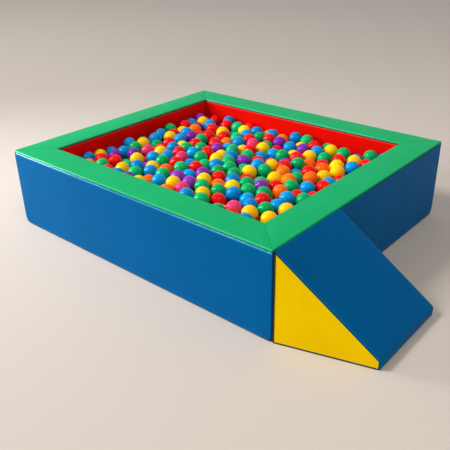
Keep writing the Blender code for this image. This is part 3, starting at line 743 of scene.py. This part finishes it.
def makeWallCovers(name):
    look = coverLook
    deep, high = pit["thickness"], pit["height"]
    length = wallLength(name)
    seamLevel, gap = high - look["seamDrop"], look["seamGap"] / 2
    under, over = seamLevel - gap, seamLevel + gap
    base, top = look["baseRadius"], look["topRadius"]
    panels = {  # corners in depth and height, radii of the edges, the rolls at both seams, colour
        "inner": (
            [(deep - look["baseSeam"], 0), (deep, 0), (deep, under)],
            [base], (look["baseRoll"], look["innerRoll"]), "red",
        ),
        "top": (
            [(deep, over), (deep, high), (0, high), (0, over)],
            [top, top], (look["topRoll"], look["topRoll"]), "green",
        ),
        "outer": (
            [(0, under), (0, 0), (look["baseSeam"], 0)],
            [base], (look["outerRoll"][name], look["baseRoll"]), "blue",
        ),
    }
    for index, (panel, (corners, radii, rolls, colour)) in enumerate(panels.items()):
        rows = sectionRows([Vector(corner) for corner in corners], radii, *rolls, look["rowCount"])
        byRamp = name == "right" and panel == "outer"
        settings = {
            "crown": look["crown"]["behindRamp" if byRamp else panel],
            "endRoll": look["innerEndRoll" if panel == "inner" else "endRoll"],
            "seed": 100 + wallTurns[name] * 10 + index * 3,  # three seeds a panel
            "soft": look["softCorner"] if panel == "outer" else 0.0,
            "rolls": rolls, "endLight": look["wallEndLight"], "colour": colour,
            "shoulderLight": look["rampSideLight"] if name == "right" and panel != "inner" else 1.0,
        }
        coverPanel(
            name + "_wall_" + panel + "_cover", rows, length, mitredHalf(length, look["endInset"]),
            wallPlacement(name), finishes[colour], name + "_wall",
            name + "_wall_" + panel + "_panel", settings,
        )


for wallName in wallTurns:
    makeWallCovers(wallName)
print("wall covers sewn")


# Flat pieces: a plate is a rounded outline whose rim rolls over and whose face may swell.

plateLook = {
    "pitch": 0.012, "cornerSteps": 6, "rimSteps": 4, "tuck": 0.002, "stations": 12, "sharp": 40,
    "rings": (0.985, 0.96, 0.92, 0.86, 0.78, 0.66, 0.52, 0.38, 0.22, 0.08),
}


def plateOutline(corners, radius, inset):
    # Every inset gives as many points, so the outlines can be joined ring to ring.
    pitch, steps = plateLook["pitch"], plateLook["cornerSteps"]
    whole = roundedOutline(corners, radius, 0, steps)
    moved = roundedOutline(corners, radius, inset, steps)
    points = []
    for index in range(len(whole)):
        after = (index + 1) % len(whole)
        straight = (index + 1) % (steps + 1) == 0
        parts = max(1, int((whole[after] - whole[index]).length / pitch)) if straight else 1
        points += [moved[index].lerp(moved[after], part / parts) for part in range(parts)]
    return points


def plate(name, corners, radius, roll, rise, toFrame, outward, finish, body, replaced, thickness):
    # roll rounds the rim, rise is the swell of the middle; toFrame takes across, up and out.
    steps = plateLook["rimSteps"]
    profile = [(0, -roll - plateLook["tuck"]), (0, -roll)]
    for step in range(1, steps + 1):
        angle = math.pi / 2 * step / steps
        profile.append((roll * (1 - math.cos(angle)), -roll * (1 - math.sin(angle))))
    rings = []
    for inset, level in profile:
        rings.append([toFrame(point.x, point.y, level) for point in plateOutline(corners, radius, inset)])
    rim = plateOutline(corners, radius, profile[-1][0])
    centre = sum(corners, Vector((0, 0))) / len(corners)
    for share in plateLook["rings"]:
        ring = [centre + (point - centre) * share for point in rim]
        rings.append([toFrame(point.x, point.y, rise * (1 - share ** 2)) for point in ring])
    across = len(rim)
    vertices = [vertex for ring in rings for vertex in ring]
    faces = ringFaces(len(rings), across, True)
    faces.append(tuple(range(len(vertices) - across, len(vertices))))
    faces = facing(vertices, faces, len(faces) - 1, outward)
    piece = addPiece(name, vertices, faces, finish, body, replaced)
    # painted highlight: the rolled rim rows get the seam mark, which pales the vinyl there
    seam = np.zeros(len(vertices))
    seam[:across * (steps + 2)] = 1.0
    markPoints(piece, "seam", seam)
    thicken(piece, thickness)
    return piece


def block(name, outline, halfAt, toFrame, finish, body, replaced):
    # A closed bar: an outline in depth and height, and half its length at each depth.
    count, stations = len(outline), plateLook["stations"]
    vertices = []
    for station in range(stations + 1):
        share = station / stations
        for point in outline:
            half = halfAt(point.x)
            vertices.append(toFrame @ Vector((2 * half * share - half, point.x, point.y)))
    faces = ringFaces(stations + 1, count, True)
    faces += [tuple(range(count)), tuple(reversed(range(count * stations, count * stations + count)))]
    mesh = bpy.data.meshes.new(name)
    mesh.from_pydata(vertices, [], faces)
    work = bmesh.new()
    work.from_mesh(mesh)
    bmesh.ops.recalc_face_normals(work, faces=work.faces)
    if work.calc_volume(signed=True) < 0:
        bmesh.ops.reverse_faces(work, faces=work.faces)
    work.to_mesh(mesh)
    work.free()
    mesh.set_sharp_from_angle(angle=math.radians(plateLook["sharp"]))
    return placePiece(name, mesh, finish, body, replaced)


def rectangle(left, right, bottom, top):
    return [Vector((left, bottom)), Vector((right, bottom)), Vector((right, top)), Vector((left, top))]


# Under the covers: foam, the black base cloth and the hook and loop at the mitres.

hiddenLook = {
    "foamInset": 0.0095, "foamEnd": 0.0100, "foamRadius": 0.0120, "clothInset": 0.00175,
    "clothRadius": 0.006, "clothRoll": 0.0001, "clothThickness": 0.0010, "plateEdge": 0.0020,
    "baseLevel": 0.0002, "stripWidth": 0.050, "stripHeight": 0.300, "stripRadius": 0.0060,
    "stripNear": 0.00020, "stripThickness": 0.00065, "stripRoll": 0.0004,
}


def mitreFrame(place, length, side, inset):
    # across is the way along the mitre from its middle, up is the height, out leaves the block.
    root = math.sqrt(2)

    def toFrame(across, up, out):
        depth = pit["thickness"] / 2 + across / root
        depth += coverLook["softCorner"] * math.exp(-(up + depth) / coverLook["softReach"])
        x = side * (length / 2 - depth - inset * root)
        return place @ Vector((x + side * out / root, depth + out / root, up))

    return toFrame


def makeWallInside(name):
    look = hiddenLook
    length, place, body = wallLength(name), wallPlacement(name), name + "_wall"
    deep, high = pit["thickness"], pit["height"]
    outline = roundedOutline(rectangle(0, deep, 0, high), look["foamRadius"], look["foamInset"])
    foam = block(
        body + "_foam", outline, mitredHalf(length, look["foamEnd"]), place, finishes["foam"], body,
        [body + "_core"],
    )
    edge = look["plateEdge"]
    reach = deep / math.sqrt(2) - edge
    turn = place.to_3x3()
    for side, label in ((-1, "left"), (1, "right")):
        plate(
            body + "_" + label + "_end_cloth", rectangle(-reach, reach, edge, high - edge),
            look["clothRadius"], look["clothRoll"], 0.0, mitreFrame(place, length, side, look["clothInset"]),
            turn @ Vector((side, 1, 0)), finishes["baseCloth"], body,
            [body + "_base_panel"], look["clothThickness"],
        )
    seam, level = coverLook["baseSeam"], look["baseLevel"]
    block(
        body + "_base_cloth", rectangle(seam, deep - seam, level, level + look["clothThickness"]),
        mitredHalf(length, look["clothInset"]), place, finishes["baseCloth"], body,
        [body + "_base_panel"],
    )


def makeCornerStrips(frontOrBack, side):
    look = hiddenLook
    place, length = wallPlacement(frontOrBack), wallLength(frontOrBack)
    toward = side if frontOrBack == "front" else -side
    sideName = "right" if side > 0 else "left"
    low = (pit["height"] - look["stripHeight"]) / 2
    corners = rectangle(-look["stripWidth"] / 2, look["stripWidth"] / 2, low, low + look["stripHeight"])
    outward = place.to_3x3() @ Vector((toward, 1, 0))
    for kind, wall, way in (("hook", frontOrBack, 1), ("loop", sideName, -1)):
        frameAt = mitreFrame(place, length, toward, way * look["stripNear"])
        plate(
            frontOrBack + "_" + sideName + "_" + kind + "_tape", corners, look["stripRadius"],
            look["stripRoll"], 0.0, lambda across, up, out: frameAt(across, up, way * out), outward * way,
            finishes[kind], wall + "_wall",
            [frontOrBack + "_" + sideName + "_" + kind + "_strip"], look["stripThickness"],
        )


for wallName in wallTurns:
    makeWallInside(wallName)
for wallName in ("front", "back"):
    for wallSide in (-1, 1):
        makeCornerStrips(wallName, wallSide)
print("foam, base cloth and corner strips made")


# Ramp. Its slope cover rolls over both long edges, and the yellow sides are set into it.

rampLow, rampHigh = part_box("ramp_slope_panel")
rampWidth = 0.430
rampLook = {
    "length": rampHigh.x - rampLow.x, "skew": rampHigh.y - rampLow.y - rampWidth, "toe": 0.040,
    "middle": rampLow.y + rampWidth / 2, "back": rampLow.x, "seamDrop": 0.009, "baseSeam": 0.012,
    "seamGap": 0.0002, "edgeRadius": 0.007, "toeRadius": 0.016, "topRadius": 0.003, "endRoll": 0.0022,
    "crown": 0.0022, "backCrown": 0.0002, "slopeRows": 42, "backRows": 24, "backRoll": 0.0020,
    # endLight and seamLight scale the painted highlight on the ramp's cover
    "endLight": 0.5, "seamLight": 0.1, "sideSet": 0.0022, "sideRoll": 0.0020, "sideRise": 0.0026,
    "sideRadius": 0.0060, "sideIn": 0.0006, "sideToe": 0.35, "sideTop": 2.3, "foamInset": 0.0090,
    "foamRadius": 0.0110, "stripWidth": 0.360, "stripHeight": 0.080, "stripDrop": 0.050,
    "stripRadius": 0.006, "stripRoll": 0.0004, "stripThickness": 0.0008,
    "stripOut": {"hook": 0.0014, "loop": 0.0017},
}
rampPlace = Matrix((
    (0, 1, 0, rampLook["back"]), (-1, rampLook["skew"] / rampLook["length"], 0, rampLook["middle"]),
    (0, 0, 1, 0), (0, 0, 0, 1),
))


def makeRamp():
    look = rampLook
    width, length, high = rampWidth, look["length"], pit["height"]
    section = [Vector((0, 0)), Vector((length, 0)), Vector((length, look["toe"])), Vector((0, high))]
    baseEnd, backSeam = length - look["baseSeam"], high - look["seamDrop"]
    slopeCorners = [Vector((baseEnd, 0)), *section[1:], Vector((0, backSeam + look["seamGap"]))]
    radii = [look["edgeRadius"], look["toeRadius"], look["topRadius"]]
    rolls = (look["backRoll"], look["backRoll"])
    settings = {
        "crown": look["crown"], "endRoll": look["endRoll"], "seed": 301, "soft": 0.0, "rolls": rolls,
        "endLight": look["endLight"], "colour": "blue", "shoulderLight": look["seamLight"],
    }
    halfAt = lambda depth: width / 2 + depth * 0
    coverPanel(
        "ramp_slope_cover", sectionRows(slopeCorners, radii, *rolls, look["slopeRows"]), width, halfAt,
        rampPlace, finishes["blue"], "ramp", "ramp_slope_panel", settings,
    )
    backCorners = [
        Vector((0, backSeam - look["seamGap"])), Vector((0, 0)), Vector((baseEnd - 2 * look["seamGap"], 0)),
    ]
    coverPanel(
        "ramp_base_cloth", sectionRows(backCorners, radii[:1], *rolls, look["backRows"]), width, halfAt,
        rampPlace, finishes["baseCloth"], "ramp", "ramp_base_panel",
        dict(settings, crown=look["backCrown"], seed=311),
    )

    inset, sideAt = look["sideSet"], width / 2 - look["sideIn"]
    sideCorners = [
        Vector((inset, inset)), Vector((length - inset, inset)),
        Vector((length - inset, look["toe"] - inset * look["sideToe"])),
        Vector((inset, high - inset * look["sideTop"])),
    ]
    for label, side in (("far", -1), ("near", 1)):
        cover = plate(
            "ramp_" + label + "_side_cover", sideCorners, look["sideRadius"], look["sideRoll"],
            look["sideRise"],
            lambda across, up, out: rampPlace @ Vector((side * (sideAt + out), across, up)),
            rampPlace.to_3x3() @ Vector((side, 0, 0)), finishes["yellow"], "ramp",
            ["ramp_" + label + "_side_panel"], coverLook["thickness"],
        )

    half = width / 2 - look["foamInset"]
    foam = block(
        "ramp_foam", roundedOutline(section, look["foamRadius"], look["foamInset"]),
        lambda depth: half, rampPlace, finishes["foam"], "ramp", ["ramp_core"],
    )

    top = high - look["stripDrop"]
    corners = rectangle(-look["stripWidth"] / 2, look["stripWidth"] / 2, top - look["stripHeight"], top)
    for kind, body, node, way in (
        ("hook", "ramp", "ramp_hook_strip", -1), ("loop", "right_wall", "ramp_wall_loop_strip", 1),
    ):
        level = -look["stripOut"][kind]
        plate(
            "ramp_" + kind + "_tape", corners, look["stripRadius"], look["stripRoll"], 0.0,
            lambda across, up, out: rampPlace @ Vector((across, level + way * out, up)),
            Vector((way, 0, 0)), finishes[kind], body, [node], look["stripThickness"],
        )
    print("ramp made")


makeRamp()


# Floor mat under the balls.

matLook = {
    "radius": 0.012, "roll": 0.0055, "top": 0.0001, "seamHeight": 0.010, "skirtInset": 0.0002,
    "skirtPitch": 0.02, "baseRoll": 0.004, "baseLevel": 0.0002, "foamInset": 0.008,
    "foamLevel": 0.0015, "foamRadius": 0.010, "foamGap": 0.0048,
}


def makeMat():
    look = matLook
    low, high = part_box("mat_top_cover")
    corners = rectangle(low.x, high.x, low.y, high.y)
    cover = plate(
        "mat_cover", corners, look["radius"], look["roll"], 0.0,
        lambda across, up, out: Vector((across, up, high.z - look["top"] + out)), Vector((0, 0, 1)),
        finishes["blue"], "pit_base", ["mat_top_cover"], coverLook["thickness"],
    )
    skirt = evenOutline(roundedOutline(corners, look["radius"], look["skirtInset"]), look["skirtPitch"])
    levels = [high.z - look["roll"], (high.z + look["seamHeight"]) / 2, look["seamHeight"]]
    vertices = [Vector((point.x, point.y, level)) for level in levels for point in skirt]
    faces = facing(vertices, ringFaces(len(levels), len(skirt), True), 0, (0, -1, 0))
    side = addPiece(
        "mat_side_cover", vertices, faces, finishes["blue"], "pit_base", ["mat_top_cover"],
    )
    markPoints(side, "seam", np.zeros(len(vertices)))
    thicken(side, coverLook["thickness"])
    plate(
        "mat_base_cloth", corners, look["radius"], look["baseRoll"], 0.0,
        lambda across, up, out: Vector((across, up, look["baseLevel"] - out)), Vector((0, 0, -1)),
        finishes["baseCloth"], "pit_base", ["mat_base_cover"], coverLook["thickness"],
    )
    foamSection = rectangle(low.y, high.y, look["foamLevel"], high.z)
    half = high.x - look["foamInset"]
    foam = block(
        "mat_foam", roundedOutline(foamSection, look["foamRadius"], look["foamGap"]),
        lambda depth: half, Matrix.Identity(4), finishes["foam"],
        "pit_base", ["mat_core"],
    )
    print("mat made")


makeMat()


# Seam stitches across the grooves of the walls' upper seams.

stitchLook = {
    "pitch": 0.0055, "radius": 0.00038, "sides": 5, "slant": 0.0012, "bite": 0.0007,
    "thick": (0.16, 0.84), "endGap": 0.008,
}


def stitches(name, pairs, finish, body):
    look = stitchLook
    vertices, faces = [], []
    count = look["sides"]
    turns = [math.tau * corner / count for corner in range(count)]
    for start, end in pairs:
        run = end - start
        turn = run.to_track_quat("Z", "Y").to_matrix()
        base = len(vertices)
        vertices.append(start)
        for share in look["thick"]:
            for angle in turns:
                ring = Vector((math.cos(angle), math.sin(angle), 0)) * look["radius"]
                vertices.append(start + turn @ (ring + Vector((0, 0, run.length * share))))
        vertices.append(end)
        for corner in range(count):
            here, beside = base + 1 + corner, base + 1 + (corner + 1) % count
            faces.append((base, beside, here))
            faces.append((here, beside, beside + count, here + count))
            faces.append((base + 1 + 2 * count, here + count, beside + count))
    return addPiece(name, vertices, faces, finish, body)


def makeWallStitches(name):
    look = stitchLook
    length, place = wallLength(name), wallPlacement(name)
    deep, high = pit["thickness"], pit["height"]
    pairs = []
    seamLevel, rise = high - coverLook["seamDrop"], coverLook["seamGap"] / 2 + look["bite"]
    for depth, inward, roll in ((0, 1, coverLook["outerRoll"][name]), (deep, -1, coverLook["innerRoll"])):
        aboveIn, belowIn = (
            radius * (1 - math.sqrt(1 - (1 - look["bite"] / radius) ** 2))
            for radius in (coverLook["topRoll"], roll)
        )
        half = length / 2 - depth - look["endGap"]
        count = int(2 * half / look["pitch"])
        for index in range(count):
            x = -half + look["pitch"] * (index + 0.5)
            above = Vector((x, depth + inward * aboveIn, seamLevel + rise))
            below = Vector((x + look["slant"], depth + inward * belowIn, seamLevel - rise))
            pairs.append((place @ above, place @ below))
    stitches(name + "_wall_seam_stitches", pairs, finishes["thread"], name + "_wall")


for wallName in wallTurns:
    makeWallStitches(wallName)
print("seams stitched")


# Zips stay as packed, with cloth tape and painted sliders.

for nodeName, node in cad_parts.items():
    if nodeName.endswith(("_zip", "_zip_slider")):
        node.data.materials.clear()
        node.data.materials.append(finishes["tape" if nodeName.endswith("_zip") else "slider"])


# Floor, lights and camera

studio = {
    "floorColour": (0.526, 0.476, 0.435), "floorHalf": 60.0, "floorRough": 0.8,
    "fleck": (260, 4.0, 0.7), "fleckRange": (0.35, 0.65), "fleckShades": (0.97, 1.02),
    "fleckBump": (0.25, 0.0006),
    "skyColour": (1.0, 0.985, 0.96), "skyStrength": 0.40, "backdrop": (0.78, 0.77, 0.76),
    "lamps": {  # turn from the front and rise in degrees, distance, size, power, colour, spread
        "key_light": (-46, 45, 14.0, 3.9, 1480, (1.0, 0.985, 0.96), 180),
        "side_light": (-60, 22, 5.0, 1.4, 31, (1.0, 0.99, 0.97), 70),
        "fill_light": (60, 62, 8.0, 4.0, 155, (1.0, 0.92, 0.80), 180),
    },
}
photoView = {
    "place": (1.8953, -2.1937, 1.4584), "turn": 41.262, "rise": 27.378, "roll": -1.226,
    "focalPixels": 616.3, "pixels": 450, "sensor": 36, "near": 0.05, "far": 200,
}


def makeFloor():
    look = studio
    finish, place = newFinish("pale_floor")
    fleck = noiseNode(place, *look["fleck"])
    dress(finish, {
        "Base Color": twoShades(fleck, look["fleckRange"], look["floorColour"], look["fleckShades"]),
        "Normal": bumpNode(fleck, *look["fleckBump"]), "Roughness": look["floorRough"],
    })
    half = look["floorHalf"]
    mesh = bpy.data.meshes.new("studio_floor")
    corners = [(-half, -half, 0), (half, -half, 0), (half, half, 0), (-half, half, 0)]
    mesh.from_pydata(corners, [], [(0, 1, 2, 3)])
    mesh.materials.append(finish)
    intoScene("studio_floor", mesh)


def makeSky():
    # The camera and reflections see the pale backdrop, the light comes from the sky colour.
    look = studio
    world = bpy.data.worlds.new("studio_sky")
    world.use_nodes = True
    tree = world.node_tree
    tree.nodes.clear()
    sky, seen = (
        addNode(tree, "Background", "Background", {"Color": colour, "Strength": strength})
        for colour, strength in ((look["skyColour"], look["skyStrength"]), (look["backdrop"], 1))
    )
    rays = tree.nodes.new("ShaderNodeLightPath").outputs
    direct = rays["Is Camera Ray"]
    for ray in ("Is Glossy Ray", "Is Transmission Ray"):
        direct = mathNode(direct, rays[ray], "MAXIMUM")
    blend = addNode(tree, "MixShader", "Shader", {"Fac": direct, 1: sky, 2: seen})
    put(tree.nodes.new("ShaderNodeOutputWorld").inputs["Surface"], blend)
    bpy.context.scene.world = world


def directionTo(turn, rise):
    return Vector((math.sin(turn) * math.cos(rise), -math.cos(turn) * math.cos(rise), math.sin(rise)))


def makeLamps():
    for name, (turn, rise, distance, size, power, colour, spread) in studio["lamps"].items():
        away = directionTo(math.radians(turn), math.radians(rise))
        lamp = bpy.data.lights.new(name, "AREA")
        lamp.shape = "DISK"
        lamp.size = size
        lamp.energy = power
        lamp.color = colour
        lamp.spread = math.radians(spread)
        light = intoScene(name, lamp)
        light.location = away * distance
        light.rotation_mode = "QUATERNION"
        light.rotation_quaternion = (-away).to_track_quat("-Z", "Y")
        light.visible_camera = False


def makeCamera():
    look = photoView
    turn, rise, roll = (math.radians(look[name]) for name in ("turn", "rise", "roll"))
    back = directionTo(turn, rise)
    right = Vector((math.cos(turn), math.sin(turn), 0))
    up = back.cross(right)
    cosine, sine = math.cos(roll), math.sin(roll)
    turned = Matrix((cosine * right + sine * up, -sine * right + cosine * up, back)).transposed()
    lens = bpy.data.cameras.new("photo_camera")
    lens.sensor_width = look["sensor"]
    lens.lens = look["focalPixels"] * look["sensor"] / look["pixels"]
    lens.clip_start, lens.clip_end = look["near"], look["far"]
    camera = intoScene("photo_camera", lens)
    camera.matrix_world = Matrix.Translation(look["place"]) @ turned.to_4x4()
    bpy.context.scene.camera = camera


makeFloor()
makeSky()
makeLamps()
makeCamera()
bpy.context.scene.view_settings.view_transform = "Standard"
print("studio set")
